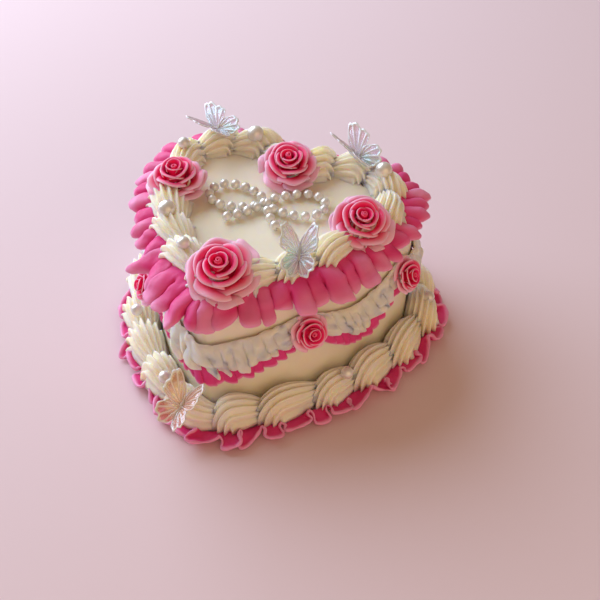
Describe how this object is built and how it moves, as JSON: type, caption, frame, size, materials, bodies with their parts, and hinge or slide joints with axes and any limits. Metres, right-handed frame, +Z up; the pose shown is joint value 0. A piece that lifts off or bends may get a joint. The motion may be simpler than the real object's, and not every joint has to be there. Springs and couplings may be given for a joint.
{
  "type": "heart shaped cake",
  "caption": "Small heart shaped cake in ivory icing with piped shell borders, pink frills, side swags, piped roses, pearls, a bead bow and clear butterflies.",
  "frame": {"origin": "on the floor under the middle of the cake's bounding box", "axes": "+Z up, +Y from the heart's tip to its notch, +X to the right lobe seen from the tip"},
  "size_m": [0.1277, 0.1268, 0.069],
  "materials": {
    "ivory_icing": "soft matte buttercream, pale ivory",
    "pink_icing": "soft matte buttercream, magenta pink with paler lifted edges",
    "rose_icing": "soft matte buttercream in two tones, rose red with pale pink petal edges",
    "pearl": "glossy white pearl coating",
    "clear_film": "clear plastic with an iridescent coating"
  },
  "bodies": {
    "root": {"cake_body": "ivory_icing", "base_frill": "pink_icing", "top_frill": "pink_icing", "rose_left": "rose_icing", "rose_notch": "rose_icing", "rose_right": "rose_icing", "rose_tip": "rose_icing", "pearl_top_1": "pearl", "pearl_top_2": "pearl", "pearl_top_3": "pearl", "pearl_top_4": "pearl", "pearl_top_5": "pearl", "pearl_base_1": "pearl", "pearl_base_2": "pearl", "pearl_base_3": "pearl", "pearl_base_4": "pearl", "pearl_base_5": "pearl", "pearl_base_6": "pearl", "butterfly_back_left": "clear_film", "butterfly_back_right": "clear_film", "butterfly_front": "clear_film", "butterfly_base": "clear_film", "base_shells": "ivory_icing", "top_shells": "ivory_icing", "cream_swag_1": "ivory_icing", "pink_swag_1": "pink_icing", "cream_swag_2": "ivory_icing", "pink_swag_2": "pink_icing", "cream_swag_3": "ivory_icing", "pink_swag_3": "pink_icing", "cream_swag_4": "ivory_icing", "pink_swag_4": "pink_icing", "cream_swag_5": "ivory_icing", "pink_swag_5": "pink_icing", "cream_swag_6": "ivory_icing", "pink_swag_6": "pink_icing", "cream_swag_7": "ivory_icing", "pink_swag_7": "pink_icing", "side_rose_1": "rose_icing", "side_rose_2": "rose_icing", "side_rose_3": "rose_icing", "side_rose_4": "rose_icing", "side_rose_5": "rose_icing", "side_rose_6": "rose_icing", "side_rose_7": "rose_icing", "pearl_bow": "pearl"}
  },
  "joints": []
}
